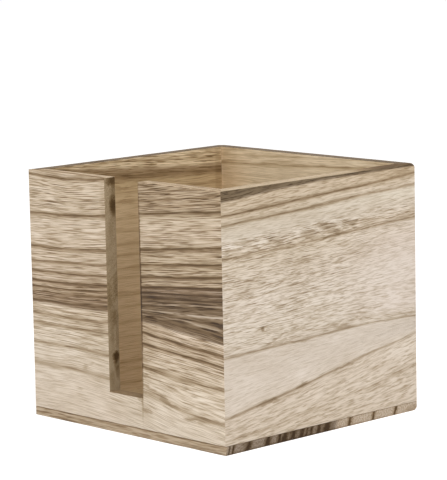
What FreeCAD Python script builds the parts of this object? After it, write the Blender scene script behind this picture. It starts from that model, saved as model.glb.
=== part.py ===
import FreeCAD, Part
import os

import Sketcher

# An open-topped wooden box for folded paper napkins, with a slot down its front wall to thumb them out.
# Four wall boards meet at mitred corners and stand on a base board that is as wide and deep as the box.
# Headed brads, driven up through the base board, hold each wall down on it.
#
# Frame, in millimetres: +Z up, +X to the right along the slotted front, +Y to the back. The origin is
# the middle of the underside.

SIZES = (
    ("box_width", 155.0, "outside, along the slotted front"),
    ("box_depth", 150.0, "outside, front to back"),
    ("box_height", 140.0, "outside, base board included"),
    ("wall_thickness", 8.0, "of all four wall boards"),
    ("base_thickness", 5.0, "of the base board"),
    ("slot_width", 27.0, "opening down the middle of the front"),
    ("slot_floor", 22.0, "height of the slot's bottom edge"),
    ("back_round", 3.0, "radius sanded on all the back's outer edges"),
    ("brad_inset", 30.0, "from an outside corner to the nearest brad"),
    ("brad_sink", 0.4, "from the underside up to a brad's head"),
    ("brad_length", 15.0, "head and point included"),
    ("brad_shank_diameter", 1.2, "18 gauge wire"),
    ("brad_head_diameter", 2.0, "flat round head"),
    ("brad_head_thickness", 0.6, "flat round head"),
    ("brad_point_length", 1.5, "tapered end"),
    ("brad_point_diameter", 0.3, "blunt tip of the tapered end"),
    ("brad_clearance", 0.02, "radial room round a brad in its hole"),
)

# Each wall: its name, the size that gives its length, its turn about Z in degrees, and the middle of
# its outside, as expressions for x and y.
WALLS = (
    ("front_panel", "box_width", 0, "0", "-sizes.box_depth / 2"),
    ("right_panel", "box_depth", 90, "sizes.box_width / 2", "0"),
    ("back_panel", "box_width", 180, "0", "sizes.box_depth / 2"),
    ("left_panel", "box_depth", 270, "-sizes.box_width / 2", "0"),
)

# The sketcher's own codes: the sketch's origin, and the two ends of an edge.
ORIGIN = -1
START, END = range(1, 3)


def make_sheet(doc):
    sheet = doc.addObject("Spreadsheet::Sheet", "sizes")
    for row, (alias, value, meaning) in enumerate(SIZES, start=1):
        sheet.set(f"A{row}", alias)
        sheet.set(f"B{row}", str(value))
        sheet.set(f"C{row}", meaning)
        sheet.setAlias(f"B{row}", alias)
    doc.recompute()
    return sheet


def sketch_on(body, name, plane_role):
    """An empty sketch on one of the body's own origin planes."""
    sketch = body.newObject("Sketcher::SketchObject", name)
    planes = [f for f in body.Origin.OriginFeatures if f.Role == plane_role]
    sketch.AttachmentSupport = [(planes[0], "")]
    sketch.MapMode = "FlatFace"
    return sketch


def draw_loop(sketch, corners):
    """Straight lines from corner to corner and back to the first, joined end to start."""
    points = [FreeCAD.Vector(x, y, 0) for x, y in corners]
    count = len(points)
    for i in range(count):
        sketch.addGeometry(Part.LineSegment(points[i], points[(i + 1) % count]))
    for i in range(count):
        sketch.addConstraint(Sketcher.Constraint("Coincident", i, END, (i + 1) % count, START))


def draw_rectangle(sketch, left, low, right, high):
    """Its bottom is edge 0, and its right side, top and left side follow."""
    draw_loop(sketch, ((left, low), (right, low), (right, high), (left, high)))
    for side in (0, 2):
        sketch.addConstraint(Sketcher.Constraint("Horizontal", side))
    for side in (1, 3):
        sketch.addConstraint(Sketcher.Constraint("Vertical", side))


def dimension(sketch, name, expression, kind, *where):
    """A named driving dimension, bound to the sheet."""
    index = sketch.addConstraint(Sketcher.Constraint(kind, *where, 1.0))
    sketch.renameConstraint(index, name)
    sketch.setExpression(f"Constraints.{name}", expression)


def pad(body, sketch, name, expression):
    feature = body.newObject("PartDesign::Pad", name)
    feature.Profile = sketch
    feature.setExpression("Length", expression)
    return feature


def make_block(doc, sheet, name, height):
    """A body as wide and deep as the box, standing on the ground plane."""
    body = doc.addObject("PartDesign::Body", name)
    sketch = sketch_on(body, name + "_plan", "XY_Plane")
    half_width = sheet.box_width / 2
    half_depth = sheet.box_depth / 2
    draw_rectangle(sketch, -half_width, -half_depth, half_width, half_depth)
    sketch.addConstraint(Sketcher.Constraint("Symmetric", 0, START, 2, START, ORIGIN, START))
    dimension(sketch, "width", "sizes.box_width", "DistanceX", 0, START, 0, END)
    dimension(sketch, "depth", "sizes.box_depth", "DistanceY", 1, START, 1, END)
    pad(body, sketch, name + "_pad", height)
    doc.recompute()
    return body


def make_outer_form(doc, sheet):
    """The whole box as one block with its back edges rounded. Every board is trimmed to it."""
    body = make_block(doc, sheet, "outer_form", "sizes.box_height")
    block = body.Tip
    back = sheet.box_depth / 2
    edges = []
    for number, edge in enumerate(block.Shape.Edges, start=1):
        if all(abs(v.Point.y - back) < 1e-6 for v in edge.Vertexes):
            edges.append(f"Edge{number}")
    rounding = body.newObject("PartDesign::Fillet", "back_rounding")
    rounding.Base = (block, edges)
    rounding.setExpression("Radius", "sizes.back_round")
    doc.recompute()
    return body


def make_wall_blank(doc, sheet, name, length_alias, turn, x, y):
    """A board with its outside on the body's XZ plane and both ends mitred, stood in its place."""
    body = doc.addObject("PartDesign::Body", name + "_blank")
    sketch = sketch_on(body, name + "_plan", "XY_Plane")
    length = getattr(sheet, length_alias)
    thickness = sheet.wall_thickness
    inside = length / 2 - thickness
    draw_loop(
        sketch,
        ((-length / 2, 0), (length / 2, 0), (inside, thickness), (-inside, thickness)),
    )
    outer, right_mitre, inner, left_mitre = range(4)
    across_board = "sizes.wall_thickness"
    sketch.addConstraint(Sketcher.Constraint("Horizontal", outer))
    sketch.addConstraint(Sketcher.Constraint("Horizontal", inner))
    sketch.addConstraint(Sketcher.Constraint("Symmetric", outer, START, outer, END, ORIGIN, START))
    dimension(sketch, "length", f"sizes.{length_alias}", "DistanceX", outer, START, outer, END)
    dimension(sketch, "thickness", across_board, "DistanceY", right_mitre, START, right_mitre, END)
    dimension(sketch, "right_run", across_board, "DistanceX", right_mitre, END, right_mitre, START)
    dimension(sketch, "left_run", across_board, "DistanceX", left_mitre, END, left_mitre, START)
    pad(body, sketch, name + "_pad", "sizes.box_height - sizes.base_thickness")
    body.Placement.Rotation = FreeCAD.Rotation(FreeCAD.Vector(0, 0, 1), turn)
    body.setExpression("Placement.Base.x", x)
    body.setExpression("Placement.Base.y", y)
    body.setExpression("Placement.Base.z", "sizes.base_thickness")
    doc.recompute()
    return body


def cut_slot(doc, sheet, body):
    """The slot: through the board, from its floor up to the top edge."""
    sketch = sketch_on(body, "slot_outline", "XZ_Plane")
    half = sheet.slot_width / 2
    low = sheet.slot_floor - sheet.base_thickness
    high = sheet.box_height - sheet.base_thickness
    draw_rectangle(sketch, -half, low, half, high)
    above_base = "sizes.slot_floor - sizes.base_thickness"
    dimension(sketch, "half_width", "sizes.slot_width / 2", "DistanceX", 0, START, ORIGIN, START)
    dimension(sketch, "width", "sizes.slot_width", "DistanceX", 0, START, 0, END)
    dimension(sketch, "floor", above_base, "DistanceY", ORIGIN, START, 0, START)
    dimension(sketch, "rise", "sizes.box_height - sizes.slot_floor", "DistanceY", 1, START, 1, END)
    whole = body.Shape.Volume
    pocket = body.newObject("PartDesign::Pocket", "slot")
    pocket.Profile = sketch
    pocket.Type = "ThroughAll"
    doc.recompute()
    wanted = sheet.slot_width * (sheet.box_height - sheet.slot_floor) * sheet.wall_thickness
    removed = whole - body.Shape.Volume
    if abs(removed - wanted) > wanted / 1000:
        raise RuntimeError(f"the slot removed {removed:.0f} mm3, not {wanted:.0f}")


def brad_places():
    """Two brads along the middle of each wall: expressions for x and y."""
    middle_x = "(sizes.box_width - sizes.wall_thickness) / 2"
    middle_y = "(sizes.box_depth - sizes.wall_thickness) / 2"
    end_x = "(sizes.box_width / 2 - sizes.brad_inset)"
    end_y = "(sizes.box_depth / 2 - sizes.brad_inset)"
    for x_sign in ("-", ""):
        for y_sign in ("-", ""):
            yield x_sign + end_x, y_sign + middle_y
            yield x_sign + middle_x, y_sign + end_y


def stand(solid, place, low, high):
    """Puts a cylinder or cone on a brad's axis, between two heights given as expressions."""
    solid.setExpression("Height", f"{high} - ({low})")
    solid.setExpression("Placement.Base.x", place[0])
    solid.setExpression("Placement.Base.y", place[1])
    solid.setExpression("Placement.Base.z", low)
    return solid


def cylinder(doc, name, place, low, high, radius):
    solid = doc.addObject("Part::Cylinder", name)
    solid.setExpression("Radius", radius)
    return stand(solid, place, low, high)


def cone(doc, name, place, low, high, low_radius, high_radius):
    solid = doc.addObject("Part::Cone", name)
    solid.setExpression("Radius1", low_radius)
    solid.setExpression("Radius2", high_radius)
    return stand(solid, place, low, high)


def make_brads(doc):
    """The brads, as one group of separate solids, and the holes that they sit in."""
    underside = "0"
    head_low = "sizes.brad_sink"
    head_high = "sizes.brad_sink + sizes.brad_head_thickness"
    tip = "sizes.brad_sink + sizes.brad_length"
    point_low = f"{tip} - sizes.brad_point_length"
    shank = "sizes.brad_shank_diameter / 2"
    head = "sizes.brad_head_diameter / 2"
    point = "sizes.brad_point_diameter / 2"
    loose = "sizes.brad_clearance"
    brads = []
    holes = []
    for number, place in enumerate(brad_places(), start=1):
        brad = doc.addObject("Part::MultiFuse", f"brad_{number}")
        brad.Shapes = [
            cylinder(doc, f"brad_head_{number}", place, head_low, head_high, head),
            cylinder(doc, f"brad_shank_{number}", place, head_low, point_low, shank),
            cone(doc, f"brad_point_{number}", place, point_low, tip, shank, point),
        ]
        brads.append(brad)
        holes += [
            cylinder(doc, f"head_hole_{number}", place, underside, head_high, f"{head} + {loose}"),
            cylinder(doc, f"shank_hole_{number}", place, underside, tip, f"{shank} + {loose}"),
        ]
    group = doc.addObject("Part::Compound", "base_brads")
    group.Links = brads
    drilled = doc.addObject("Part::MultiFuse", "brad_holes")
    drilled.Shapes = holes
    doc.recompute()
    return group, drilled


def finish_board(doc, name, blank, outer_form, drilled):
    """Trims a blank to the box's outer form and drills it for the brads."""
    trimmed = doc.addObject("Part::Common", name + "_trimmed")
    trimmed.Base = blank
    trimmed.Tool = outer_form
    board = doc.addObject("Part::Cut", name)
    board.Base = trimmed
    board.Tool = drilled
    board.Label = name
    doc.recompute()
    return board


def check(doc, subparts):
    for thing in doc.Objects:
        if "Invalid" in thing.State or "Error" in thing.State:
            raise RuntimeError(f"{thing.Name} failed: {thing.State}")
    for part in subparts:
        if part.Shape.isNull() or not part.Shape.isValid():
            raise RuntimeError(f"{part.Label} has no valid shape")


def main():
    os.makedirs("parts", exist_ok=True)
    doc = FreeCAD.newDocument("napkin_box")
    sheet = make_sheet(doc)
    outer_form = make_outer_form(doc, sheet)
    base_blank = make_block(doc, sheet, "base_board_blank", "sizes.base_thickness")
    group, drilled = make_brads(doc)

    subparts = [finish_board(doc, "base_board", base_blank, outer_form, drilled)]
    for name, length_alias, turn, x, y in WALLS:
        blank = make_wall_blank(doc, sheet, name, length_alias, turn, x, y)
        if name == "front_panel":
            cut_slot(doc, sheet, blank)
        subparts.append(finish_board(doc, name, blank, outer_form, drilled))
    subparts.append(group)

    check(doc, subparts)
    for part in subparts:
        part.Shape.exportStep(f"parts/{part.Label}.step")


main()
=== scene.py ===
"""The looks of the napkin box: softened boards, their wood, the studio and the camera.

Board shapes are worked out in millimetres and handed to Blender in metres. Nothing in the box moves, so
every piece rides on the one body.
"""

import math
import random

import bmesh
import bpy
from mathutils import Matrix, Vector, noise


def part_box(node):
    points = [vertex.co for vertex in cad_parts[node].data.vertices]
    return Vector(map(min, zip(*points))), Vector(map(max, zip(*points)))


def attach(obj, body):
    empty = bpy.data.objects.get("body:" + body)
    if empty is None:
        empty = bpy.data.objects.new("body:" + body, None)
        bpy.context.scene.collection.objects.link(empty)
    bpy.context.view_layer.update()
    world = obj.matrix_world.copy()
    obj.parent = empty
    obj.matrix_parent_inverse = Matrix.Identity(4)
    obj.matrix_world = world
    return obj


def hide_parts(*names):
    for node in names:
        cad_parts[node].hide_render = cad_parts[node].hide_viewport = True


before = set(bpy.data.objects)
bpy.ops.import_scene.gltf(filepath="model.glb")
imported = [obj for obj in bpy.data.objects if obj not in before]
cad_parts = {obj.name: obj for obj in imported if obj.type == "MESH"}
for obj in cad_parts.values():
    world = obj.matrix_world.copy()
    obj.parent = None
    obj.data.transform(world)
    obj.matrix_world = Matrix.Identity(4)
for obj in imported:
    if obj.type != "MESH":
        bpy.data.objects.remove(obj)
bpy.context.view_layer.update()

MM = 0.001

# ------------------------------ sizes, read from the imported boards

front_low, front_high = (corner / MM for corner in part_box("front_panel"))
HALF_WIDTH = front_high.x
HALF_DEPTH = -front_low.y
WALL = front_high.y - front_low.y
BASE_TOP = front_low.z
TOP = front_high.z
slot_edges = [v.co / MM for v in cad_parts["front_panel"].data.vertices]
SLOT_HALF = min(abs(point.x) for point in slot_edges)
SLOT_FLOOR = min(point.z for point in slot_edges if abs(point.x) < SLOT_HALF + 0.1)

ARRIS = 0.35  # softness of the outside edges
CORNER_ROUND = 2.4  # radius of the four corners of the back, seen along the box's diagonal
INNER_ARRIS = 0.3  # softness of the top inside edges and of the slot's edges
JOINT_ARRIS = 0.25  # softness on both sides of the joint between the walls and the base
WEAR = 0.11  # how far handling has rubbed an edge away at most
WEAR_LENGTH = 11.0  # how far apart an edge's more and less rubbed places are
CELL = 5.0  # spacing of the points along an edge
CELL_SHIFT = 0.37  # keeps the grid of points off the boards' own edges
BLOCK = 400.0  # side of the block that each board is cut from
SOFT_STEPS = 3  # flats in a softened edge, and one more
ROUND_STEPS = 7  # the same in a corner of the back
SOFT_BENDS = (9, 40)  # a softened edge's flats meet at angles between these, in degrees

SIDES = {
    "front": (Vector((0, -1, 0)), HALF_DEPTH),
    "right": (Vector((1, 0, 0)), HALF_WIDTH),
    "back": (Vector((0, 1, 0)), HALF_DEPTH),
    "left": (Vector((-1, 0, 0)), HALF_WIDTH),
    "top": (Vector((0, 0, 1)), TOP),
    "bottom": (Vector((0, 0, -1)), 0.0),
}
RING = ["front", "right", "back", "left"]

SURFACES = ["face", "end", "rim", "sill", "floor"]
# how squarely a face has to look along the grain (end) or upwards (the others), as a cosine
FACING = {"end": 0.9, "rim": 0.8, "sill": 0.6, "floor": 0.95}
NEAR = 1.0  # a face closer to a level than this lies at it


# ------------------------------ board shapes


def rounding(side_a, side_b, radius, steps):
    """The planes that round the square edge between two sides."""
    (normal_a, reach_a), (normal_b, reach_b) = side_a, side_b
    planes = []
    for step in range(1, steps):
        angle = math.pi / 2 * step / steps
        part_a, part_b = math.cos(angle), math.sin(angle)
        normal = normal_a * part_a + normal_b * part_b
        reach = (reach_a - radius) * part_a + (reach_b - radius) * part_b + radius
        planes.append((normal, reach))
    return planes


def outer_planes():
    """The whole box as flat sides, soft edges and, at the back, rounded corners."""
    planes = list(SIDES.values())
    pairs = [(RING[i], RING[(i + 1) % 4]) for i in range(4)]
    pairs += [(side, end) for side in RING for end in ("top", "bottom")]
    for first, second in pairs:
        planes += rounding(SIDES[first], SIDES[second], ARRIS, SOFT_STEPS)
    corner_reach = (HALF_WIDTH + HALF_DEPTH) / math.sqrt(2) - ARRIS * 0.4  # as far as the soft edge
    for side in ("left", "right"):
        outward = (SIDES[side][0] + SIDES["back"][0]).normalized()
        for end in ("top", "bottom"):
            planes += rounding((outward, corner_reach), SIDES[end], CORNER_ROUND, ROUND_STEPS)
    return planes


def everything(mesh):
    return mesh.verts[:] + mesh.edges[:] + mesh.faces[:]


def trimmed_block(planes):
    """A closed shape: what is left of a big block inside all the planes."""
    mesh = bmesh.new()
    bmesh.ops.create_cube(mesh, size=BLOCK)
    for normal, reach in planes:
        unit = normal.normalized()
        bmesh.ops.bisect_plane(
            mesh,
            geom=everything(mesh),
            dist=1e-5,
            plane_co=unit * (reach / normal.length),
            plane_no=unit,
            clear_outer=True,
        )
        rim = [edge for edge in mesh.edges if edge.is_boundary]
        if rim:
            bmesh.ops.edgeloop_fill(mesh, edges=rim)
    return mesh


def wall_planes(side):
    """A wall reaches to the middle of each mitred corner and stands on the base."""
    normal, reach = SIDES[side]
    inner = (-normal, WALL - reach)
    foot = (Vector((0, 0, -1)), -BASE_TOP)
    place = RING.index(side)
    planes = outer_planes() + [inner, foot]
    for neighbour in (RING[place - 1], RING[(place + 1) % 4]):
        other_normal, other_reach = SIDES[neighbour]
        planes.append((other_normal - normal, other_reach - reach))
    planes += rounding(SIDES["top"], inner, INNER_ARRIS, SOFT_STEPS)
    planes += rounding(foot, SIDES[side], JOINT_ARRIS, SOFT_STEPS)
    return planes


def base_planes():
    """The base board reaches to the outside all round."""
    lid = (Vector((0, 0, 1)), BASE_TOP)
    planes = outer_planes() + [lid]
    for side in RING:
        planes += rounding(lid, SIDES[side], JOINT_ARRIS, SOFT_STEPS)
    return planes


def slot_cutter():
    """What the thumb slot takes away. It widens at each face, which leaves softened edges."""
    soft = INNER_ARRIS
    eased = soft * 0.3  # how far in the middle of a rounded edge lies
    clear, clear_above = 1.0, 5.0  # how far the cutter stands out of the board's faces and top
    arc = [math.pi / 2 * step / SOFT_STEPS for step in range(SOFT_STEPS + 1)]
    sections = [(-clear, soft)]
    sections += [(soft * (1 - math.cos(angle)), soft * (1 - math.sin(angle))) for angle in arc]
    sections += [(WALL - depth, flare) for depth, flare in reversed(sections)]
    mesh = bmesh.new()
    loops = []
    for depth, flare in sections:
        half = SLOT_HALF + flare
        floor = SLOT_FLOOR - flare
        side = [
            (half, floor),
            (half, TOP - soft),
            (half + eased, TOP - eased),
            (half + soft, TOP),
            (half + soft, TOP + clear_above),
        ]
        outline = side + [(-x, z) for x, z in reversed(side)]
        loops.append([mesh.verts.new((x, depth - HALF_DEPTH, z)) for x, z in outline])
    for loop, following in zip(loops, loops[1:]):
        for i, vertex in enumerate(loop):
            j = (i + 1) % len(loop)
            mesh.faces.new((vertex, loop[j], following[j], following[i]))
    mesh.faces.new(loops[0])
    mesh.faces.new(loops[-1])
    bmesh.ops.recalc_face_normals(mesh, faces=mesh.faces[:])
    return mesh


def to_object(mesh, name):
    data = bpy.data.meshes.new(name)
    mesh.to_mesh(data)
    mesh.free()
    made = bpy.data.objects.new(name, data)
    bpy.context.scene.collection.objects.link(made)
    return made


def cut_slot(mesh):
    """The front wall with its slot, as a new mesh."""
    panel = to_object(mesh, "panel_blank")
    cutter = to_object(slot_cutter(), "slot_cutter")
    cut = panel.modifiers.new("slot", "BOOLEAN")
    cut.operation = "DIFFERENCE"
    cut.solver = "EXACT"
    cut.object = cutter
    result = bmesh.new()
    result.from_object(panel, bpy.context.evaluated_depsgraph_get())
    for spent in (panel, cutter):
        bpy.data.objects.remove(spent)
    return result


def split_into_cells(mesh):
    """Cuts every face along an even grid, so that the edges have points to wear down."""
    for axis, half in ((0, HALF_WIDTH), (1, HALF_DEPTH), (2, TOP)):
        direction = Vector([float(i == axis) for i in range(3)])
        for step in range(int(-half / CELL), int(half / CELL) + 1):
            place = (step + 0.5) * CELL + CELL_SHIFT
            bmesh.ops.bisect_plane(
                mesh,
                geom=everything(mesh),
                dist=1e-4,
                plane_co=direction * place,
                plane_no=direction,
            )
    bmesh.ops.dissolve_degenerate(mesh, dist=0.01, edges=mesh.edges[:])


def face_outwards(mesh):
    bmesh.ops.recalc_face_normals(mesh, faces=mesh.faces[:])
    if mesh.calc_volume(signed=True) < 0:
        bmesh.ops.reverse_faces(mesh, faces=mesh.faces[:])
    mesh.normal_update()


def rub_edges(mesh, seed):
    """Moves the points of the softened edges inwards by a little, unevenly."""
    least, most = [math.radians(angle) for angle in SOFT_BENDS]
    rubbed = set()
    for edge in mesh.edges:
        if len(edge.link_faces) == 2 and least < edge.calc_face_angle() < most:
            rubbed.update(edge.verts)
    offset = Vector((seed * 37.0, 0, 0))  # each board looks up the noise in a place of its own
    for vertex in rubbed:
        rub = 0.5 + 0.5 * noise.noise(vertex.co / WEAR_LENGTH + offset)
        vertex.co -= vertex.normal * (WEAR * rub * rub)


def surface_of(face, along):
    """Whether a face is end grain, a wall's rim, the slot's sill, the box's floor or plain long grain."""
    upward = face.normal.z
    height = face.calc_center_median().z
    if abs(face.normal.dot(along)) > FACING["end"]:
        return "end"
    if upward > FACING["rim"] and height > TOP - NEAR:
        return "rim"
    if upward > FACING["sill"] and BASE_TOP + NEAR < height < SLOT_FLOOR + NEAR:
        return "sill"
    if upward > FACING["floor"] and abs(height - BASE_TOP) < NEAR:
        return "floor"
    return "face"


def make_board(node, mesh, seed, along, board, material):
    """Finishes a board's mesh and puts it in place of the CAD board."""
    split_into_cells(mesh)
    face_outwards(mesh)
    rub_edges(mesh, seed)
    mesh.normal_update()
    surfaces = [surface_of(face, along) for face in mesh.faces]
    present = sorted(set(surfaces), key=SURFACES.index)
    for face, surface in zip(mesh.faces, surfaces):
        face.smooth = True
        face.material_index = present.index(surface)
    bmesh.ops.transform(mesh, matrix=Matrix.Scale(MM, 4), verts=mesh.verts[:])
    piece = to_object(mesh, "wood_" + node)
    piece.data.set_sharp_from_angle(angle=math.radians(SOFT_BENDS[1]))
    for surface in present:
        piece.data.materials.append(wood(f"{material}_{surface}", board, surface))
    shading = piece.modifiers.new("flat faces", "WEIGHTED_NORMAL")
    shading.keep_sharp = True
    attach(piece, "root")
    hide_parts(node)


# ------------------------------ material building


def srgb(red, green, blue):
    """A colour given as it shows on screen, 0 to 255, as the shader wants it."""
    linear = []
    for level in (red, green, blue):
        level /= 255
        linear.append(level / 12.92 if level <= 0.04045 else ((level + 0.055) / 1.055) ** 2.4)
    return (*linear, 1.0)


class Pattern:
    """One material's node tree, and short ways to add nodes to it."""

    def __init__(self, name):
        self.material = bpy.data.materials.new(name)
        self.material.use_nodes = True
        self.tree = self.material.node_tree
        self.tree.nodes.clear()

    def add(self, kind, inputs, **settings):
        node = self.tree.nodes.new("ShaderNode" + kind)
        for key, value in settings.items():
            setattr(node, key, value)
        for key, value in inputs.items():
            if isinstance(value, bpy.types.NodeSocket):
                self.tree.links.new(value, node.inputs[key])
            else:
                node.inputs[key].default_value = value
        return node

    def math(self, operation, a, b=0.0, c=0.0):
        return self.add("Math", {0: a, 1: b, 2: c}, operation=operation).outputs[0]

    def times(self, a, b):
        return self.math("MULTIPLY", a, b)

    def plus(self, a, b):
        return self.math("ADD", a, b)

    def ramp(self, value, low, high, out_low=0.0, out_high=1.0, smooth=True):
        """Takes low..high to out_low..out_high and holds it there outside."""
        kind = "SMOOTHSTEP" if smooth else "LINEAR"
        inputs = {0: value, 1: low, 2: high, 3: out_low, 4: out_high}
        return self.add("MapRange", inputs, interpolation_type=kind).outputs[0]

    def mix(self, share, a, b):
        inputs = {0: share, 2: a, 3: b}
        return self.add("Mix", inputs, data_type="FLOAT").outputs[0]

    def blend(self, share, a, b):
        inputs = {0: share, 6: a, 7: b}
        return self.add("Mix", inputs, data_type="RGBA").outputs[2]

    def point(self, x, y, z):
        return self.add("CombineXYZ", {0: x, 1: y, 2: z}).outputs[0]

    def noise(self, place, detail, roughness):
        inputs = {"Vector": place, "Scale": 1.0, "Detail": detail, "Roughness": roughness}
        return self.add("TexNoise", inputs).outputs["Fac"]

    def stretched_noise(self, place, lengths, detail, shift, roughness=0.5):
        """Noise whose patches have about these lengths along the three directions, in millimetres."""
        scaled = [self.plus(self.times(part, 1 / length), shift) for part, length in zip(place, lengths)]
        return self.noise(self.point(*scaled), detail, roughness)

    def curve(self, value, pairs, low, high):
        """A smooth curve through (value, result) pairs, all between low and high."""
        span = high - low
        node = self.add("FloatCurve", {"Value": self.ramp(value, low, high, smooth=False)})
        points = node.mapping.curves[0].points
        places = [((x - low) / span, (y - low) / span) for x, y in sorted(pairs)]
        for point, place in zip(points, (places[0], places[-1])):
            point.location = place
        for place in places[1:-1]:
            points.new(*place)
        for point in points:
            point.handle_type = "AUTO_CLAMPED"
        node.mapping.update()
        return self.plus(self.times(node.outputs[0], span), low)

    def tones(self, value, stops, low, high):
        """Colours at values, blended in between, and beside them how strong the fibres show there."""
        node = self.add("ValToRGB", {0: self.ramp(value, low, high, smooth=False)})
        elements = node.color_ramp.elements
        while len(elements) < len(stops):
            elements.new(0.5)
        for element, (place, colour, texture) in zip(elements, sorted(stops)):
            element.position = (place - low) / (high - low)
            element.color = (*srgb(*colour)[:3], texture)
        return node.outputs["Color"], node.outputs["Alpha"]

    def finish(self, colour, roughness, relief, relief_depth, shine):
        """Makes the surface's shader, with its relief as bump, and returns the material."""
        bump = {"Strength": 1.0, "Distance": relief_depth * MM, "Height": relief}
        inputs = {
            "Base Color": colour,
            "Roughness": roughness,
            "Normal": self.add("Bump", bump).outputs[0],
            "Specular IOR Level": shine,
        }
        shader = self.add("BsdfPrincipled", inputs)
        self.add("OutputMaterial", {0: shader.outputs[0]})
        return self.material


# ------------------------------ the wood

LOWEST, HIGHEST = -15.0, 165.0  # heights that the grain curves cover, in millimetres
LINE_SKIRT = 2.4  # how much wider than its core a growth line fades away
PALE_LIFT = 1.2  # how much lighter the middle of a pale line is
FRAY = 0.7  # how far fibres push a growth line up and down, in millimetres
PALE_FRAY = 0.25  # the same for a pale line, which runs on unbroken
UNEVEN = (0.3, 0.6, 0.7, 1.1)  # a range of noise, and a growth line's strength at its two ends
DARKEST = 0.20  # least light that any mark leaves
BROWNING = (1.20, 1.54)  # darker wood loses more green and blue than red, by these powers

WANDER_SIZE = (38, 20, 12)  # patches of noise: their size along the board, through it and up it
MOTTLE_SIZE = (24, 14, 14)  # this one and the next two: along the board, up it and through it
UNEVEN_SIZE = (20, 2.0, 3.0)
PULL_SIZE = (8.0, 3.0, 3.0)

# the fine noises: length and width in millimetres, detail, and how far off each is looked up
STREAKS = (36, 0.95, 2.0, 7)
COARSE_FIBRES = (13, 0.68, 1.0, 11)
FINE_FIBRES = (4.0, 0.40, 1.0, 19)
PORES = (11, 0.56, 1.0, 13)
FLATNESS = 1.2  # how much deeper than wide a fibre is

FIBRE_RANGE = (0.26, 0.60)  # the noise at a dark fibre and at a light one
PORE_RANGE = (0.55, 0.66)  # the noise where a pore begins and at its darkest
FINE_SHARE = 0.5  # how much the fine fibres count beside the coarse ones
STREAK_MIDDLE = 0.68  # about the streaks' mean, so that they hardly change a board's mean tone
FIBRE_MIDDLE = 0.93  # the same for the fibres
MOTTLE_DEPTH = 0.22  # how much the cloudy light and dark patches differ

MARK_EDGE = 1.6  # where a mark, a stain mark or painted shade, ends, as a square of its half size
MARK_PULL = (4.0, 5.0)  # how strongly noise pulls a large mark out of shape, along and up

ROUGHNESS = (0.58, 0.82)
RELIEF = {"fibres": 0.4, "pores": -0.5, "lines": -0.35}  # how far each stands up
RELIEF_DEPTH = 0.10  # in millimetres
FACE_SHINE, CUT_SHINE = 0.35, 0.15


def share_of(board, shares, surface):
    """How strongly something shows on a surface of a board, 1 unless the board says otherwise."""
    return board.get(shares, {}).get(surface, 1.0)


def board_axes(pattern, board):
    """A point's place along the board, through it from the outside, and up it, in millimetres."""
    turn = [math.radians(angle) for angle in board["turn"]]
    inputs = {
        "Vector": pattern.add("TexCoord", {}).outputs["Object"],
        "Location": board["shift"],
        "Rotation": turn,
        "Scale": (1 / MM,) * 3,
    }
    placed = pattern.add("Mapping", inputs).outputs[0]
    parts = pattern.add("SeparateXYZ", {0: placed}).outputs
    return parts[0], parts[1], parts[2]


def straighten(pattern, board, along, depth, height):
    """Follows the grain from a point to the board's left end and gives the height there.

    The grain wanders, and its rings lean through the thickness.
    """
    wander = pattern.stretched_noise((along, depth, height), WANDER_SIZE, 3.0, board["seed"])
    wander = pattern.times(pattern.plus(wander, -0.5), board["wander"])
    level = pattern.plus(pattern.plus(height, pattern.times(depth, board["ring_lean"])), wander)
    stations = board["stations"]
    courses = [line[0] for line in board["lines"] + board.get("pale_lines", [])]
    courses = [course for course in courses if len(course) == len(stations)]
    result = None
    for number, station in enumerate(stations):
        pairs = [(course[number], course[0]) for course in courses]
        pairs += [(LOWEST, LOWEST), (HIGHEST, HIGHEST)]
        here = pattern.curve(level, pairs, LOWEST, HIGHEST)
        if result is None:
            result = here
        else:
            share = pattern.ramp(along, stations[number - 1], station, smooth=False)
            result = pattern.mix(share, result, here)
    return result


def broad_colour(pattern, board, surface, straight, share):
    """The board's colour without its figure, and how strong its fibres and pores are."""
    colour, texture = pattern.tones(straight, board["tones"], LOWEST, HIGHEST)
    if "right_tones" in board:
        other, other_texture = pattern.tones(straight, board["right_tones"], LOWEST, HIGHEST)
        colour = pattern.blend(share, colour, other)
        texture = pattern.mix(share, texture, other_texture)
    texture = pattern.times(texture, share_of(board, "texture_shares", surface))
    if surface in board["cover"]:
        cover, strength = board["cover"][surface]
        colour = pattern.blend(strength, colour, srgb(*cover))
    return colour, texture


def growth_lines(pattern, lines, straight, share):
    """How much of a growth line a point is in. A line has a dense core and faint skirts."""
    total = None
    for heights, above, below, strength, right_strength in lines:
        if not strength and not right_strength:
            continue
        middle = heights[0]
        rise = pattern.ramp(straight, middle - LINE_SKIRT * below, middle, smooth=False)
        fall = pattern.ramp(straight, middle, middle + LINE_SKIRT * above, 1.0, 0.0, smooth=False)
        line = pattern.math("POWER", pattern.times(rise, fall), 2.0)
        line = pattern.times(line, pattern.mix(share, strength, right_strength))
        total = line if total is None else pattern.math("MAXIMUM", total, line)
    return total


def darkened(pattern, light, darkness):
    """The light that is left when a share of it is taken away."""
    return pattern.times(light, pattern.plus(1.0, pattern.times(darkness, -1.0)))


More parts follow.
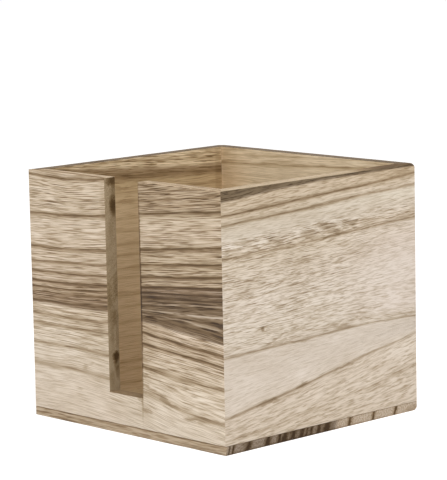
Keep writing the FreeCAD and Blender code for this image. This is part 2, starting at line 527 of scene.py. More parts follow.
def stain_and_shade_spots(pattern, marks, across, up, pull, light):
    """Takes light away in soft spots, each an ellipse lying along the grain and pulled out of shape. Some
    spots are stain marks in the wood, others painted shade.
    """
    most_pull, pull_up = MARK_PULL
    pulled_up = pattern.plus(up, pattern.times(pull, pull_up))
    for left, bottom, half_length, half_height, rise, darkness in marks:
        pulled_across = pattern.math("MULTIPLY_ADD", pull, min(half_length, most_pull), across)
        sideways = pattern.plus(pulled_across, -left)
        upwards = pattern.math("MULTIPLY_ADD", sideways, -rise, pattern.plus(pulled_up, -bottom))
        sideways = pattern.times(sideways, 1 / half_length)
        upwards = pattern.times(upwards, 1 / half_height)
        squared = pattern.math("MULTIPLY_ADD", sideways, sideways, pattern.times(upwards, upwards))
        light = pattern.times(light, pattern.ramp(squared, 0.0, MARK_EDGE, 1 - darkness, 1.0))
    return light


def fibre_noise(pattern, board, place, kind):
    """One of the fine noises, in the board's own fineness."""
    length, width, detail, shift = kind
    across = width * board["fibre_width"]
    lengths = (length * board["fibre_length"], across, across * FLATNESS)
    return pattern.stretched_noise(place, lengths, detail, board["seed"] + shift)


def fanned_out(pattern, board, straight, share):
    """The straight height again, spread so that the fibres stay as fine where the grain fans out."""
    if "fan" not in board:
        return straight
    low, high, growth = board["fan"]
    spread = pattern.ramp(straight, low, high, 0.0, growth, smooth=False)
    return pattern.plus(straight, pattern.times(spread, share))


def fibrous(pattern, board, place, point, texture):
    """The light that streaks, fibres, pores and clouds leave, and the noises that other marks follow."""
    streak = pattern.ramp(fibre_noise(pattern, board, place, STREAKS), *FIBRE_RANGE)
    coarse = fibre_noise(pattern, board, place, COARSE_FIBRES)
    fine = fibre_noise(pattern, board, place, FINE_FIBRES)
    fibre = pattern.plus(pattern.ramp(coarse, *FIBRE_RANGE), pattern.times(fine, FINE_SHARE))
    pores = pattern.ramp(fibre_noise(pattern, board, place, PORES), *PORE_RANGE)
    mottle = pattern.stretched_noise(point, MOTTLE_SIZE, 2.0, board["seed"] + 17)
    light = pattern.times(pattern.plus(streak, -STREAK_MIDDLE), board["streaks"])
    light = pattern.plus(light, pattern.times(pattern.plus(fibre, -FIBRE_MIDDLE), board["fibres"]))
    light = pattern.plus(1.0, pattern.times(light, texture))
    light = pattern.plus(light, pattern.times(pattern.plus(mottle, -0.5), MOTTLE_DEPTH))
    light = darkened(pattern, light, pattern.times(pattern.times(pores, texture), board["pores"]))
    return light, coarse, fibre, pores


def lined(pattern, board, surface, place, straight, coarse, share, light):
    """Puts in the growth lines, frayed by the fibres and uneven along their length."""
    sway = pattern.plus(coarse, -0.5)
    frayed = pattern.plus(straight, pattern.times(sway, FRAY))
    line_share = share_of(board, "line_shares", surface)
    patches = pattern.stretched_noise(place, UNEVEN_SIZE, 2.0, board["seed"] + 3)
    uneven = pattern.times(pattern.ramp(patches, *UNEVEN), line_share)
    lines = pattern.times(growth_lines(pattern, board["lines"], frayed, share), uneven)
    lines = pattern.math("MINIMUM", lines, 1.0)
    light = darkened(pattern, light, pattern.times(lines, board["line_depth"]))
    if "pale_lines" in board:
        hardly_frayed = pattern.plus(straight, pattern.times(sway, PALE_FRAY))
        pale = growth_lines(pattern, board["pale_lines"], hardly_frayed, share)
        light = darkened(pattern, light, pattern.times(pale, -PALE_LIFT * line_share))
    return light, lines


def marked(pattern, board, surface, point, coarse, light):
    """Puts in the stain marks and the painted shade, broken up by the fibres, and the painted shade in
    the joint under the walls.
    """
    along, height, depth = point
    pull = pattern.stretched_noise(point, PULL_SIZE, 2.0, board["seed"] + 23, 0.6)
    pull = pattern.plus(pattern.plus(pull, pattern.times(coarse, 0.5)), -0.75)
    across = depth if surface == "end" else along
    light = stain_and_shade_spots(pattern, board.get("marks", {}).get(surface, []), across, height, pull, light)
    # painted shade in the inside corners, only on the inner half of the board
    if surface == "face" and "inner_shading" in board:
        shaded_inside = stain_and_shade_spots(pattern, board["inner_shading"], across, height, pull, light)
        inner_half = pattern.ramp(depth, 0.4 * WALL, 0.6 * WALL)
        light = pattern.mix(inner_half, light, shaded_inside)
    # painted shade in the joint where the walls stand on the base
    if surface == "face" and "joint" in board:
        light = darkened(pattern, light, pattern.ramp(depth, 0.0, 1.0, board["joint"], 0.0))
    return light


def wood(name, board, surface):
    """A board's wood. The figure fills the board's whole thickness, so its faces agree at the edges."""
    pattern = Pattern(name)
    along, depth, height = board_axes(pattern, board)
    straight = straighten(pattern, board, along, depth, height)
    share = pattern.ramp(along, *board.get("tone_change", (0.0, 1.0)))
    place = (along, fanned_out(pattern, board, straight, share), depth)
    point = (along, height, depth)

    colour, texture = broad_colour(pattern, board, surface, straight, share)
    light, coarse, fibre, pores = fibrous(pattern, board, place, point, texture)
    light, lines = lined(pattern, board, surface, place, straight, coarse, share, light)
    light = marked(pattern, board, surface, point, coarse, light)
    light = pattern.math("MAXIMUM", light, DARKEST)

    green, blue = [pattern.math("POWER", light, power) for power in BROWNING]
    browned = pattern.point(light, green, blue)
    shown = pattern.add("VectorMath", {0: colour, 1: browned}, operation="MULTIPLY").outputs[0]
    relief = pattern.plus(pattern.times(fibre, RELIEF["fibres"]), pattern.times(pores, RELIEF["pores"]))
    relief = pattern.plus(relief, pattern.times(lines, RELIEF["lines"]))
    roughness = pattern.ramp(pattern.plus(fibre, pattern.times(pores, 0.4)), 0.2, 1.5, *ROUGHNESS)
    shine = FACE_SHINE if surface == "face" else CUT_SHINE
    return pattern.finish(shown, roughness, relief, RELIEF_DEPTH, shine)


# ------------------------------ the boards' figure and painted shade
#
# All lengths are in millimetres. A board's own axes run along it, through it from the outside, and up it.
# turn, shift  take the box's axes to the board's
# seed         where its noise is looked up, so that no two boards are alike
# wander       how far its grain wanders up and down
# ring_lean    how much its rings rise for each millimetre of thickness
# stations     places along it at which the lines' heights are given
# lines        growth lines: heights at the stations, softness above and below, strength at the left
#              and at the right. One without strength only leads the grain. One with a single height
#              follows its neighbours.
# pale_lines   the same for pale lines
# tones        height at the left end, colour, how strong the fibres show
# right_tones  the same tones at the right end, where tone_change says one gives way to the other
# marks        stain marks and painted shade on each surface: middle along and up, half length and
#              height, rise per millimetre, darkness. On an end, along means in from the board's outside.
# inner_shading painted shade near the inside corners, on the side that faces into the box
# cover        a colour laid over a surface, and how strongly
# fan          between which heights the grain opens out to the right, and by how much
# line_shares  how strong the growth lines are on a surface, 1 unless given, and texture_shares
#              the same for the fibres
# fibre_length, fibre_width: how long and wide its fibres are beside the usual ones
# line_depth, streaks, fibres, pores: how dark each of them is
# joint        how dark the painted shade makes the board's edges where the walls stand on it

FRONT_BOARD = {
    "turn": (0, 0, 0),
    "shift": (0, HALF_DEPTH, 0),
    "seed": 1,
    "wander": 1.2,
    "ring_lean": -0.9,
    "stations": (-HALF_WIDTH, -45, -13.7, 13.7, 45, HALF_WIDTH),
    "lines": [
        ((137.6, 136.7, 139.4, 143, 147, 152), 1.3, 0.8, 0.95, 0),
        ((116, 116.9, 119.2, 122.8, 125.9, 129.2), 0.8, 1.7, 1, 1.15),
        ((97.3, 98.2, 100.3, 103.5, 106.8, 110.2), 0.8, 1.6, 0.95, 1.1),
        ((88.9, 90.2, 92.3, 95.4, 98.3, 101.5), 0.7, 1.2, 0.9, 1.15),
        ((83, 84.3, 85.9, 88.6, 91.6, 94.9), 0.8, 1.2, 0.95, 1.15),
        ((77.7, 78.8, 81, 83, 86.6, 89.2), 0.7, 1.2, 1.15, 1.2),
        ((74.2, 75.2, 77.4, 80.3, 82.6, 85.2), 0.5, 0.8, 0.95, 1),
        ((71.6, 72.4, 74.3, 77.6, 80, 82), 0.5, 0.7, 0.85, 0.8),
        ((69.8, 70.4, 72, 73.3, 75.5, 77.8), 0.4, 0.5, 0.75, 0.5),
        ((67.9, 68.3, 69.9, 69.7, 69.6, 69.2), 0.3, 0.3, 0.3, 0.6),
        ((66.9, 67.3, 69, 67, 66, 63.2), 0.5, 0.6, 0.8, 0.4),
        ((65, 65.1, 65.4, 64.6, 62, 59), 0.6, 0.5, 0, 0),
        ((59.3, 59.4, 60.2, 58.8, 55.6, 53), 0.9, 1.2, 0.8, 1.2),
        ((53.8, 54, 54.3, 52.6, 50, 47.2), 0.9, 1.1, 0.75, 1.1),
        ((42.6, 42.9, 42, 39.5, 36.9, 34.6), 1.2, 0.8, 0.6, 0.8),
        ((30.6, 31, 29, 25.5, 19.5, 16), 1.7, 1.2, 0.55, 0.5),
        ((132,), 0.4, 0.4, 0.2, 0.6),
        ((127.5,), 0.4, 0.4, 0.25, 0.55),
        ((123.2,), 0.5, 0.4, 0.3, 0.6),
        ((119.8,), 0.4, 0.4, 0.2, 0.55),
        ((106.5,), 0.4, 0.4, 0.25, 0.35),
        ((101.5,), 0.4, 0.4, 0.2, 0.4),
        ((93.4,), 0.4, 0.4, 0.25, 0.45),
        ((86.2,), 0.35, 0.35, 0.3, 0.5),
        ((80.4,), 0.35, 0.35, 0.35, 0.55),
        ((62.4,), 0.45, 0.45, 0.4, 0.6),
        ((56.6,), 0.4, 0.4, 0.3, 0.5),
        ((48.6,), 0.4, 0.4, 0.15, 0.35),
    ],
    "pale_lines": [
        ((70.3, 71, 72.6, 74.4, 76.7, 79), 0.15, 0.2, 0.1, 0.85),
        ((68.4, 68.9, 70.4, 70.8, 71.9, 73.6), 0.28, 0.22, 0.2, 1.1),
        ((67.4, 67.8, 69.5, 68.8, 68.8, 65.9), 0.25, 0.2, 0, 1),
        ((76,), 0.15, 0.12, 0.15, 0.7),
        ((74.9,), 0.1, 0.12, 0.1, 0.5),
        ((72.9,), 0.12, 0.1, 0.2, 0.6),
        ((71,), 0.1, 0.1, 0.2, 0.5),
        ((69.3,), 0.1, 0.1, 0.2, 0.55),
        ((66,), 0.1, 0.08, 0.1, 0.4),
    ],
    "tones": [
        (146, (192, 171, 146), 0.9),
        (135, (201, 181, 155), 1),
        (124, (197, 177, 151), 1.2),
        (118, (198, 178, 152), 1),
        (112, (206, 187, 163), 0.8),
        (98, (200, 180, 155), 0.9),
        (91, (201, 181, 156), 0.9),
        (80, (196, 175, 150), 0.9),
        (77, (176, 153, 126), 1),
        (73, (170, 147, 119), 1.2),
        (70, (158, 134, 107), 1.2),
        (66, (140, 117, 90), 0.9),
        (64.6, (209, 190, 166), 0.8),
        (50, (209, 192, 169), 0.8),
        (40, (213, 197, 176), 0.55),
        (25, (215, 199, 179), 0.4),
        (8, (212, 196, 176), 0.4),
    ],
    "right_tones": [
        (146, (162, 139, 110), 1.5),
        (118, (170, 147, 118), 1.5),
        (115.5, (199, 180, 154), 0.9),
        (104, (193, 172, 146), 1.1),
        (97.5, (191, 171, 145), 1),
        (95, (189, 168, 141), 1.1),
        (89.5, (185, 164, 136), 1.1),
        (83.5, (182, 161, 134), 1.2),
        (78.3, (175, 153, 126), 1.3),
        (77.2, (150, 127, 101), 1.4),
        (74.5, (137, 114, 89), 1.4),
        (73.5, (120, 98, 74), 1.4),
        (69.3, (115, 94, 69), 1.4),
        (65.3, (119, 97, 71), 1.3),
        (64.7, (200, 179, 154), 1.2),
        (52, (199, 179, 154), 1),
        (42, (206, 188, 164), 0.8),
        (30, (215, 199, 178), 0.6),
        (8, (217, 203, 184), 0.4),
    ],
    "tone_change": (-10, 12),
    "marks": {
        "face": [
            (33, 23, 9, 1.6, -0.3, 0.32),
            (26, 26.2, 8, 1.2, -0.12, 0.2),
            (62, 16.8, 16, 1.6, 0.03, 0.32),
            (50, 15.6, 5, 0.8, 0.05, 0.3),
            (17, 15.6, 4.5, 1.2, -0.05, 0.34),
            (16, 44.5, 6, 1, -0.1, 0.25),
            (17, 35.2, 4.5, 0.9, -0.05, 0.35),
            (16, 29.5, 4, 0.9, -0.1, 0.35),
            (17, 39.2, 5, 0.9, -0.1, 0.25),
            (18, 25.8, 6, 0.9, -0.05, 0.22),
            (-38.5, 20.2, 2.5, 0.9, 0, 0.2),
            (-33, 33.5, 2.5, 0.9, 0.1, 0.22),
            (-28, 36, 3, 0.8, 0.25, 0.15),
            (-30, 43.6, 8, 0.8, 0, 0.18),
            (11.5, 21.3, 2.4, 0.8, -0.3, 0.28),
            # painted shade of the slot's softened right edge, running on a little below the slot
            (13.4, 80, 1.5, 62, 0, 0.9),
            # broad lighter and darker parts of the board
            (-74, 76.5, 14, 6, 0, -0.14),
            (-76, 95, 20, 50, 0, -0.06),
            (-22, 60, 18, 40, 0, 0.09),
            (-13.5, 127, 4, 14, 0, 0.14),
            (17, 50, 8, 50, 0, 0.1),
            (26, 63, 16, 5, -0.05, 0.12),
            (4, 13, 18, 8, 0, 0.09),
            (71, 138, 9, 5, 0.1, 0.1),
        ],
        "end": [
            (5.2, 40.6, 2.8, 3.2, 0, 0.85),
            (5.6, 36, 2, 3, 0, 0.35),
            (6.4, 32, 1.6, 4, 0, 0.35),
            (6.2, 124.4, 3.2, 5.4, 0, 0.66),
            (5.6, 138.8, 4.4, 4, 0, 0.68),
            (6.8, 128, 3.4, 14, 0, 0.3),
            (3.5, 63, 3, 6, 0, 0.25),
            (6.8, 52, 1.4, 7, 0, 0.25),
            (4, 112, 2, 6, 0, 0.15),
            (2.4, 29, 2, 5, 0, 0.2),
            (3.2, 52, 1.6, 6, 0, 0.22),
            (6, 62, 2, 5, 0, 0.24),
            (1.6, 75, 1.4, 8, 0, 0.18),
            (6.4, 80, 1.6, 7, 0, 0.2),
        ],
    },
    "cover": {
        "end": ((154, 134, 103), 0.85),
        "rim": ((184, 162, 134), 0.75),
        # the slot's sill darkened to a shaded brown: painted shade
        "sill": ((128, 104, 72), 0.9),
    },
    "fan": (64.6, 77.7, 12),
    "line_shares": {"end": 0.2},
    "texture_shares": {"end": 0.45, "rim": 0.5},
    "fibre_length": 1.3,
    "fibre_width": 0.74,
    "line_depth": 0.76,
    "streaks": 0.26,
    "fibres": 0.76,
    "pores": 0.5,
}

RIGHT_BOARD = {
    "turn": (0, 0, -90),
    "shift": (0, HALF_WIDTH, 0),
    "seed": 2.3,
    "wander": 1.2,
    "ring_lean": -0.6,
    "stations": (-HALF_DEPTH, -HALF_DEPTH / 2, 0, HALF_DEPTH / 2, HALF_DEPTH),
    "lines": [
        ((134.1, 136.5, 138.1, 138.8, 138.8), 0.4, 0.4, 0.2, 0.9),
        ((126.6, 128.4, 130.3, 132.1, 134.7), 1, 0.7, 1, 1.05),
        ((121.7, 123.2, 124.9, 127.1, 128.7), 0.9, 0.9, 0.95, 0.5),
        ((103.8, 105, 106.5, 108.6, 110.3), 1, 0.8, 0.65, 0.8),
        ((76.3, 78.5, 80.6, 82.8, 85), 1, 1, 0, 0),
        ((51.6, 53, 54.1, 55.2, 54), 0.9, 0.7, 0.65, 0.55),
        ((19.4, 25.2, 32, 38.6, 44.6), 0.8, 0.9, 0.75, 0.6),
        ((7.6, 10.5, 15.1, 20.1, 26.1), 0.7, 0.7, 0.25, 0.25),
    ],
    "tones": [
        (152, (104, 86, 62), 1.7),
        (134.6, (107, 89, 65), 1.7),
        (133.5, (195, 175, 149), 0.9),
        (127, (193, 174, 149), 0.9),
        (124, (198, 180, 156), 0.8),
        (120, (204, 189, 168), 0.6),
        (115, (207, 193, 174), 0.5),
        (110, (207, 192, 173), 1.5),
        (104, (203, 186, 164), 1.4),
        (101, (206, 190, 169), 1),
        (90, (203, 187, 167), 1.2),
        (78, (208, 193, 175), 1.1),
        (58, (209, 195, 177), 0.9),
        (52.4, (205, 190, 172), 0.8),
        (50.6, (210, 196, 180), 0.35),
        (22, (211, 197, 181), 0.35),
        (18, (206, 190, 171), 0.7),
        (5, (204, 188, 168), 0.8),
    ],
    "right_tones": [
        (152, (104, 86, 62), 1.7),
        (134.6, (107, 89, 65), 1.7),
        (133.5, (194, 172, 143), 1),
        (127, (198, 177, 149), 1),
        (124, (209, 191, 168), 0.7),
        (121.5, (209, 192, 171), 0.7),
        (119.5, (216, 203, 183), 0.35),
        (112, (211, 196, 177), 0.9),
        (106, (206, 188, 166), 1.3),
        (103, (209, 193, 174), 0.8),
        (92, (214, 198, 182), 0.6),
        (76, (219, 205, 191), 0.45),
        (60, (214, 199, 184), 0.6),
        (52.4, (206, 191, 172), 0.8),
        (50, (212, 198, 182), 0.35),
        (24, (213, 199, 183), 0.4),
        (17, (215, 200, 182), 0.7),
        (5, (208, 192, 173), 0.8),
    ],
    "tone_change": (-10, 70),
    "marks": {
        "face": [
            (-10, 110, 7, 2.6, -0.15, 0.36),
            (3, 113, 8, 2.2, -0.2, 0.36),
            (11, 109.4, 6, 1.6, -0.1, 0.3),
            (-36, 110.6, 6, 2.4, 0.1, 0.2),
            (-58, 111.5, 9, 1.8, -0.05, 0.16),
            (-4, 114.6, 6, 0.9, -0.05, 0.24),
            (22, 112.8, 6, 1.8, -0.05, 0.4),
            (36, 112.5, 7, 2.4, 0, 0.22),
            (15, 107.6, 9, 1.6, 0.05, 0.26),
            (-48, 106.6, 5, 1.2, -0.3, 0.26),
            (-32, 107.2, 4, 1.4, -0.1, 0.26),
            (-27, 112.8, 6, 2.2, -0.1, 0.16),
            (-66, 107, 10, 1.4, -0.1, 0.18),
            (67, 112, 7, 3, 0.1, 0.14),
            (-14, 97, 8, 1.8, 0.1, 0.26),
            (17, 101, 5, 0.9, -0.05, 0.25),
            (-23, 89.5, 7, 2.4, 0.05, 0.12),
            (-17, 79.5, 9, 0.9, 0.04, 0.16),
            (-18, 74.6, 5, 0.9, 0, 0.16),
            (-4.5, 68, 2.8, 0.8, -0.05, 0.24),
            (-56, 72.8, 4.5, 0.9, 0, 0.2),
            (-46, 63.4, 1.5, 1.3, -0.1, 0.5),
            (-49, 63.2, 4, 1.2, 0, 0.16),
            (-36.5, 57.2, 8, 0.8, 0.34, 0.32),
            (-22, 60, 10, 0.8, 0.04, 0.24),
            (-30, 55.2, 14, 0.8, 0.1, 0.26),
            (-18, 53.6, 10, 0.9, 0, 0.3),
            (16, 56, 7.5, 1.7, 0, 0.32),
            (9, 58.4, 4.5, 1.2, 0.1, 0.3),
            (30, 62, 8, 1.2, 0.05, 0.26),
            (28, 59.2, 13, 0.7, 0.03, 0.22),
            (68, 57, 10, 0.8, -0.05, 0.22),
            (-25, 70.2, 7, 0.8, 0.02, 0.26),
            (-34, 74.6, 6, 0.8, 0.04, 0.22),
            (-22, 84.6, 9, 0.7, 0.04, 0.26),
            (11, 76.2, 8, 0.9, 0.04, 0.22),
            (-45, 23.6, 8, 1.5, 0.08, 0.34),
            (-16, 28.6, 6, 1.1, 0.12, 0.34),
            (16, 34.3, 8, 0.9, 0.02, 0.28),
            (-30, 24.4, 16, 0.8, 0.12, 0.22),
            (-60, 8.8, 11, 1.1, 0.08, 0.24),
            (-8, 10, 9, 0.8, 0.12, 0.24),
            (-13, 14.8, 9, 0.8, 0.1, 0.18),
            (40, 18, 9, 2.4, 0, 0.14),
            (62, 13.6, 7, 1.2, 0.1, 0.18),
            (68, 21.5, 9, 0.9, 0.08, 0.16),
            (66, 136.8, 8, 1.8, 0.02, 0.22),
            # broad lighter and darker parts of the board
            (40, 126, 50, 5, 0.02, -0.05),
            (-10, 101, 22, 7, 0, 0.06),
            (-5, 42, 45, 9, 0.25, -0.03),
            (-70, 137, 14, 5, 0, 0.06),
        ],
        "rim": [(66, TOP, 36, 50, 0, 0.75)],
    },
    "cover": {"rim": ((190, 170, 142), 0.92)},
    "texture_shares": {"rim": 0.5},
    "fibre_length": 0.6,
    "fibre_width": 0.88,
    "line_depth": 0.66,
    "streaks": 0.16,
    "fibres": 0.4,
    "pores": 0.32,
}


LINE_RISE = 4.0  # how much higher the random lines are at a board's right end
SOFT_ABOVE = (0.8, 1.6)  # their least and most softness
SOFT_BELOW = (0.5, 0.9)


def random_lines(seed, low, high, gaps, strengths):
    """Growth lines at uneven spacing, each a little higher at the board's right end."""
    draw = random.Random(seed)
    lines = []
    height = low
    while height < high:
        strength = draw.uniform(*strengths)
        above = draw.uniform(*SOFT_ABOVE)
        below = draw.uniform(*SOFT_BELOW)
        lines.append(((height, height + LINE_RISE), above, below, strength, strength))
        height += draw.uniform(*gaps)
    return lines


LEFT_BOARD = {
    "turn": (0, 0, 90),
    "shift": (0, HALF_WIDTH, 0),
    "seed": 4.1,
    "wander": 2,
    "ring_lean": 0,
    "stations": (-HALF_DEPTH, HALF_DEPTH),
    "lines": [
        ((126, 135), 1.5, 1.6, 0.5, 0.5),
        ((133.5, 143), 0.8, 0.8, 0.5, 0.5),
        *random_lines(11, -10, 119, (5, 12), (0.2, 0.45)),
    ],
    "tones": [
        (150, (210, 187, 151), 1.5),
        (130.8, (210, 187, 151), 1.5),
        (128.8, (157, 131, 97), 1),
        (125.2, (157, 131, 95), 1),
        (123.2, (186, 160, 120), 0.7),
        (112, (200, 174, 136), 0.4),
        (60, (205, 180, 144), 0.35),
        (0, (206, 182, 147), 0.35),
    ],
    "marks": {
        "face": [
            # painted shade at the top of the corner with the front wall, under its rim; it shows on the
            # outside of the board too
            (66, 139, 16, 4.5, 0.04, 0.45),
            (-62, 137, 12, 7, 0, 0.12),
            (12, 123.6, 6, 1.2, 0.04, 0.24),
            (9.5, 115.2, 8, 1.6, 0.04, 0.18),
        ],
    },
    # painted shade down the inside corner with the back wall
    "inner_shading": [(-64, 118, 2.4, 60, 0, 0.14)],
    "cover": {"rim": ((98, 80, 60), 0.9)},
    "fibre_length": 1,
    "fibre_width": 0.9,
    "line_depth": 0.62,
    "streaks": 0.26,
    "fibres": 0.4,
    "pores": 0.36,
}

BACK_BOARD = {
    "turn": (0, 0, 180),
    "shift": (0, HALF_DEPTH, 0),
    "seed": 5.7,
    "wander": 1.4,
    "ring_lean": 0,
    "stations": (-HALF_WIDTH, HALF_WIDTH),
    "lines": [
        ((136.4, 130.6), 0.8, 1.1, 0.7, 0.9),
        ((141, 135.2), 0.5, 0.5, 0.3, 0.5),
        *random_lines(23, 2, 120, (7, 15), (0.25, 0.5)),
    ],
    "tones": [
        (150, (221, 200, 167), 0.9),
        (120, (221, 201, 168), 0.6),
        (60, (216, 195, 161), 0.7),
        (0, (208, 186, 152), 0.7),
    ],
    "right_tones": [
        (150, (203, 179, 143), 0.9),
        (120, (222, 196, 158), 0.7),
        (60, (204, 180, 144), 0.7),
        (0, (204, 180, 146), 0.7),
    ],
    "tone_change": (35, 68),
    "inner_shading": [
        # a thin lighter strip right at the inside corner with the left wall, and painted shade near that
        # corner
        (68.9, 118, 0.8, 60, 0, -0.08),
        (69, 125, 12, 30, 0, 0.07),
    ],
    "cover": {"rim": ((94, 77, 58), 0.9)},
    "fibre_length": 1,
    "fibre_width": 0.9,
    "line_depth": 0.66,
    "streaks": 0.34,
    "fibres": 0.3,
    "pores": 0.28,
}

BASE_BOARD = {
    "turn": (90, 0, 0),
    "shift": (0, BASE_TOP, HALF_DEPTH),
    "seed": 7.9,
    "wander": 0.8,
    "ring_lean": 0.3,
    "stations": (-HALF_WIDTH, HALF_WIDTH),
    "lines": [
        ((6, 3.4), 0.5, 0.5, 1.2, 1.2),
        ((9, 6.2), 0.6, 0.6, 1.2, 1.2),
        ((14, 17.8), 1.4, 1.4, 1.3, 1.3),
        ((27, 32), 1.9, 1.9, 1.4, 1.4),
        ((35, 40.6), 1.6, 1.5, 1.4, 1.4),
        ((39, 44.4), 2.8, 2.4, 1.4, 1.4),
        ((45, 51), 3, 2.6, 1.4, 1.4),
        ((52, 57.8), 2, 2, 1.4, 1.4),
        ((56, 61.6), 1.8, 1.8, 1, 1),
        ((60, 65), 1.8, 1.8, 1, 1),
        ((66, 71), 1.6, 1.6, 1.4, 1.4),
        ((72, 77.5), 3.2, 3.2, 1.4, 1.4),
        ((90, 95.5), 1.5, 1.5, 1.2, 1.2),
        ((108, 114.5), 1.1, 1.1, 1.2, 1.2),
        ((126, 132.7), 1.3, 1.3, 1.2, 1.2),
    ],
    "tones": [
        (152, (190, 172, 151), 0.8),
        (84, (182, 164, 143), 0.9),
        (81, (180, 161, 139), 1),
        (78, (138, 122, 105), 1.1),
        (20, (138, 122, 105), 1.1),
        (5, (142, 126, 109), 1.1),
        (3, (172, 151, 124), 1.3),
        (-5, (178, 157, 130), 1.3),
    ],
    "marks": {
        "end": [
            # painted shade along the bottom edge of the base's ends, where they meet the floor
            (5, 55, 0.9, 90, 0, 0.5),
            (4, 147, 3, 6, 0, 0.25),
        ],
    },
    "cover": {"floor": ((170, 147, 113), 0.9)},
    # painted shade in the joint under the walls
    "joint": 0.45,
    "line_shares": {"face": 0.3, "floor": 0},
    "fibre_length": 1,
    "fibre_width": 1,
    "line_depth": 0.88,
    "streaks": 0.34,
    "fibres": 0.34,
    "pores": 0.24,
}

# ------------------------------ the pieces

BASE_SEED = 9  # the base's place in the wear noise. The walls have 0 to 3
WALLS = [
    ("front", "front_panel", FRONT_BOARD, "flamed_board", "flamed_wood"),
    ("right", "right_panel", RIGHT_BOARD, "pale_board", "pale_wood"),
    ("back", "back_panel", BACK_BOARD, "yellow_board", "yellow_wood"),
    ("left", "left_panel", LEFT_BOARD, "tan_board", "tan_wood"),
]

for number, (side, node, board, slot, material) in enumerate(WALLS):
    shape = trimmed_block(wall_planes(side))
    if side == "front":
        shape = cut_slot(shape)
    run = SIDES["top"][0].cross(SIDES[side][0])
    make_board(node, shape, number, run, board, material)

shape = trimmed_block(base_planes())
run = SIDES["right"][0]
make_board("base_board", shape, BASE_SEED, run, BASE_BOARD, "base_wood")

STEEL_DARK, STEEL_LIGHT = (120, 118, 114), (176, 174, 170)
RUB_MARKS_PER_METRE = 4000.0
RUB_DEPTH = 0.02 * MM


def brad_steel():
    """The brads' steel, brighter and rougher in small rubbed spots."""
    pattern = Pattern("brad_steel")
    place = pattern.add("TexCoord", {}).outputs["Object"]
    inputs = {0: place, "Scale": RUB_MARKS_PER_METRE}
    scaled = pattern.add("VectorMath", inputs, operation="SCALE").outputs[0]
    marks = pattern.noise(scaled, 3.0, 0.6)
    colour = pattern.blend(marks, srgb(*STEEL_DARK), srgb(*STEEL_LIGHT))
    relief = pattern.add("Bump", {"Distance": RUB_DEPTH, "Height": marks}).outputs[0]
    roughness = pattern.ramp(marks, 0.3, 0.7, 0.3, 0.5)
    inputs = {"Base Color": colour, "Metallic": 1.0, "Roughness": roughness, "Normal": relief}
    shader = pattern.add("BsdfPrincipled", inputs)
    pattern.add("OutputMaterial", {0: shader.outputs[0]})
    return pattern.material


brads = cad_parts["base_brads"]
brads.data.materials.clear()
brads.data.materials.append(brad_steel())

# ------------------------------ studio

PAPER = 0.80  # how much light the floor sends back
FLOOR_GLOW = 0.52  # what is added where the floor is looked at, so that it shows white
FLOOR_RADIUS = 30.0  # in metres
SKY = 0.60  # light from all round
BOX_MIDDLE = Vector((0, 0, 0.07))
SOFTBOXES = [
    # name, azimuth and elevation in degrees, distance and size in metres, power in watts
    ("overhead_softbox", 60, 65, 1.2, 0.9, 8.0),
    ("right_softbox", 70, 15, 1.6, 1.2, 3.6),
    ("left_softbox", 0, 20, 1.8, 1.2, 5.0),
]


def towards(azimuth, elevation):
    """The direction from the box to a place round it. Azimuth 0 is in front of it and 90 to its right."""
    flat = math.cos(elevation)
    return Vector((math.sin(azimuth) * flat, -math.cos(azimuth) * flat, math.sin(elevation)))


def seen_directly(pattern):
    """1 where the camera, a reflection or glass looks, 0 where light is gathered."""
    rays = pattern.add("LightPath", {}).outputs
    seen = pattern.math("MAXIMUM", rays["Is Camera Ray"], rays["Is Glossy Ray"])
    return pattern.math("MAXIMUM", seen, rays["Is Transmission Ray"])


def white_floor():
    pattern = Pattern("studio_floor")
    paper = pattern.add("BsdfDiffuse", {"Color": (PAPER, PAPER, PAPER, 1.0)}).outputs[0]
    strength = pattern.times(seen_directly(pattern), FLOOR_GLOW)
    glow = pattern.add("Emission", {"Color": (1, 1, 1, 1), "Strength": strength}).outputs[0]
    both = pattern.add("AddShader", {0: paper, 1: glow}).outputs[0]
    pattern.add("OutputMaterial", {0: both})
    return pattern.material


def add_floor():
    mesh = bmesh.new()
    bmesh.ops.create_circle(mesh, cap_ends=True, segments=96, radius=FLOOR_RADIUS)
    floor = to_object(mesh, "studio_floor")
    floor.data.materials.append(white_floor())


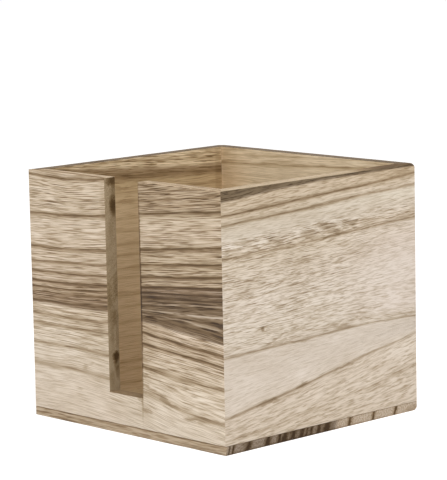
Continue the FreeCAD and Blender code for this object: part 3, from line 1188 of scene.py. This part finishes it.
def add_world():
    """Even light from all round, and a white background behind the box."""
    world = bpy.data.worlds.new("studio_world")
    world.use_nodes = True
    bpy.context.scene.world = world
    tree = world.node_tree
    tree.nodes.clear()
    light_path = tree.nodes.new("ShaderNodeLightPath")
    seen = light_path.outputs["Is Camera Ray"]
    for kind in ("Is Glossy Ray", "Is Transmission Ray"):
        either = tree.nodes.new("ShaderNodeMath")
        either.operation = "MAXIMUM"
        tree.links.new(seen, either.inputs[0])
        tree.links.new(light_path.outputs[kind], either.inputs[1])
        seen = either.outputs[0]
    level = tree.nodes.new("ShaderNodeMapRange")
    tree.links.new(seen, level.inputs["Value"])
    level.inputs["To Min"].default_value = SKY
    level.inputs["To Max"].default_value = 1.0
    background = tree.nodes.new("ShaderNodeBackground")
    background.inputs["Color"].default_value = (1.0, 1.0, 1.0, 1.0)
    tree.links.new(level.outputs[0], background.inputs["Strength"])
    output = tree.nodes.new("ShaderNodeOutputWorld")
    tree.links.new(background.outputs[0], output.inputs["Surface"])


def add_softbox(name, azimuth, elevation, distance, size, power):
    """A large square lamp facing the box."""
    back = towards(math.radians(azimuth), math.radians(elevation))
    lamp = bpy.data.lights.new(name, "AREA")
    lamp.shape = "SQUARE"
    lamp.size = size
    lamp.energy = power
    softbox = bpy.data.objects.new(name, lamp)
    softbox.location = BOX_MIDDLE + back * distance
    softbox.rotation_mode = "QUATERNION"
    softbox.rotation_quaternion = back.to_track_quat("Z", "Y")
    bpy.context.scene.collection.objects.link(softbox)


add_floor()
add_world()
for softbox in SOFTBOXES:
    add_softbox(*softbox)

# ------------------------------ camera

# where the photo was taken from, solved from the box's seven visible corners
CAMERA_AZIMUTH = math.radians(46.229)
CAMERA_ELEVATION = math.radians(8.598)
CAMERA_ROLL = math.radians(-1.1669)
CAMERA_PLACE = Vector((1.0267, -0.9828, 0.3133))
FOCAL_PIXELS = 2567.0
IMAGE_LONG_SIDE = 480.0  # in pixels
SENSOR_WIDTH = 36.0  # in millimetres


def add_camera():
    back = towards(CAMERA_AZIMUTH, CAMERA_ELEVATION)
    level_right = Vector((math.cos(CAMERA_AZIMUTH), math.sin(CAMERA_AZIMUTH), 0))
    level_up = back.cross(level_right)
    cosine, sine = math.cos(CAMERA_ROLL), math.sin(CAMERA_ROLL)
    right = level_right * cosine + level_up * sine
    up = level_up * cosine - level_right * sine
    data = bpy.data.cameras.new("photo_camera")
    data.sensor_width = SENSOR_WIDTH
    data.lens = FOCAL_PIXELS / IMAGE_LONG_SIDE * SENSOR_WIDTH
    data.clip_start = 0.01
    data.clip_end = 100.0
    camera = bpy.data.objects.new("photo_camera", data)
    turned = Matrix((right, up, back)).transposed().to_4x4()
    camera.matrix_world = Matrix.Translation(CAMERA_PLACE) @ turned
    bpy.context.scene.collection.objects.link(camera)
    bpy.context.scene.camera = camera


add_camera()
bpy.context.scene.view_settings.view_transform = "Standard"
